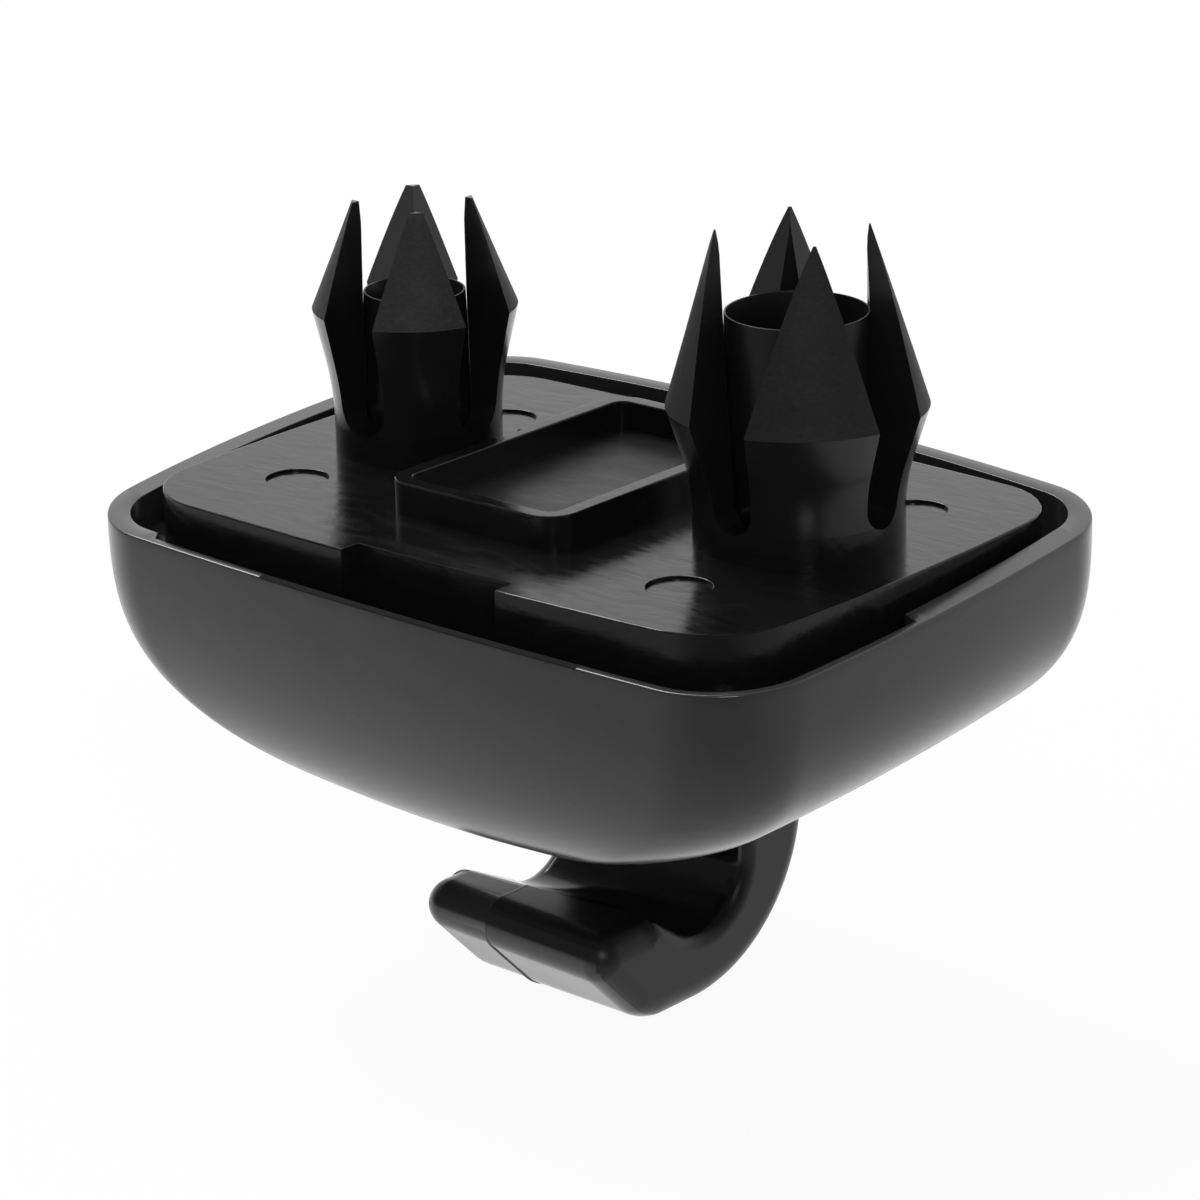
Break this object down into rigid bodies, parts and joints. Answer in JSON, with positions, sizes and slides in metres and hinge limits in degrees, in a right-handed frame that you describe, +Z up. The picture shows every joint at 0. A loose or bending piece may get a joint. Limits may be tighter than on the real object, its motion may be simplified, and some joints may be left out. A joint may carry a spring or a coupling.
{
  "type": "sun visor ceiling clip",
  "caption": "Ceiling clip for a car sun visor: a domed cover, a plate with barbed plugs that expanders lock in the roof, and a J hook for the visor's rod.",
  "frame": {"origin": "midway between the axes of the two plugs, in the plane of the plate's top face, which seats against the roof lining", "axes": "+Z up to the roof along the plugs, +X from the small plug to the large plug, -Y the side on which the hook opens"},
  "size_m": [0.045, 0.0324, 0.0414],
  "materials": {
    "plate_plastic": "glossy moulded plastic with fine scratches",
    "prong_plastic": "moulded plastic, glossy sides and a fine grain on the outer faces",
    "cover_plastic": "satin moulded plastic with a fine grain",
    "expander_plastic": "glossy moulded plastic"
  },
  "bodies": {
    "base": {"base_plate": "plate_plastic", "visor_hook": "plate_plastic"},
    "cover": {"cover_shell": "cover_plastic", "large_expander": "expander_plastic", "small_expander": "expander_plastic"},
    "large_prong_1": {"large_prong_1": "prong_plastic"},
    "large_prong_2": {"large_prong_2": "prong_plastic"},
    "large_prong_3": {"large_prong_3": "prong_plastic"},
    "large_prong_4": {"large_prong_4": "prong_plastic"},
    "small_prong_1": {"small_prong_1": "prong_plastic"},
    "small_prong_2": {"small_prong_2": "prong_plastic"},
    "small_prong_3": {"small_prong_3": "prong_plastic"},
    "small_prong_4": {"small_prong_4": "prong_plastic"}
  },
  "joints": [
    {"name": "cover_slide", "type": "slide", "parent": "base", "child": "cover", "axis": [0, 0, -1], "range_m": [0, 0.0115]},
    {"name": "large_prong_1_fold", "type": "hinge", "parent": "base", "child": "large_prong_1", "pos_m": [0.01448, 0.00205, 0.00155], "axis": [0.7071, -0.7071, 0], "range_deg": [0, 12.5]},
    {"name": "large_prong_2_fold", "type": "hinge", "parent": "base", "child": "large_prong_2", "pos_m": [0.01038, 0.00205, 0.00155], "axis": [0.7071, 0.7071, 0], "range_deg": [0, 12.5]},
    {"name": "large_prong_3_fold", "type": "hinge", "parent": "base", "child": "large_prong_3", "pos_m": [0.01038, -0.00205, 0.00155], "axis": [-0.7071, 0.7071, 0], "range_deg": [0, 12.5]},
    {"name": "large_prong_4_fold", "type": "hinge", "parent": "base", "child": "large_prong_4", "pos_m": [0.01448, -0.00205, 0.00155], "axis": [-0.7071, -0.7071, 0], "range_deg": [0, 12.5]},
    {"name": "small_prong_1_fold", "type": "hinge", "parent": "base", "child": "small_prong_1", "pos_m": [-0.01076, 0.00167, 0.00155], "axis": [0.7071, -0.7071, 0], "range_deg": [0, 9.5]},
    {"name": "small_prong_2_fold", "type": "hinge", "parent": "base", "child": "small_prong_2", "pos_m": [-0.0141, 0.00167, 0.00155], "axis": [0.7071, 0.7071, 0], "range_deg": [0, 9.5]},
    {"name": "small_prong_3_fold", "type": "hinge", "parent": "base", "child": "small_prong_3", "pos_m": [-0.0141, -0.00167, 0.00155], "axis": [-0.7071, 0.7071, 0], "range_deg": [0, 9.5]},
    {"name": "small_prong_4_fold", "type": "hinge", "parent": "base", "child": "small_prong_4", "pos_m": [-0.01076, -0.00167, 0.00155], "axis": [-0.7071, -0.7071, 0], "range_deg": [0, 9.5]}
  ],
  "couplings": [
    {"joint": "large_prong_1_fold", "follows": "cover_slide", "rad_per_m": 18.97},
    {"joint": "large_prong_2_fold", "follows": "cover_slide", "rad_per_m": 18.97},
    {"joint": "large_prong_3_fold", "follows": "cover_slide", "rad_per_m": 18.97},
    {"joint": "large_prong_4_fold", "follows": "cover_slide", "rad_per_m": 18.97},
    {"joint": "small_prong_1_fold", "follows": "cover_slide", "rad_per_m": 14.41},
    {"joint": "small_prong_2_fold", "follows": "cover_slide", "rad_per_m": 14.41},
    {"joint": "small_prong_3_fold", "follows": "cover_slide", "rad_per_m": 14.41},
    {"joint": "small_prong_4_fold", "follows": "cover_slide", "rad_per_m": 14.41}
  ]
}
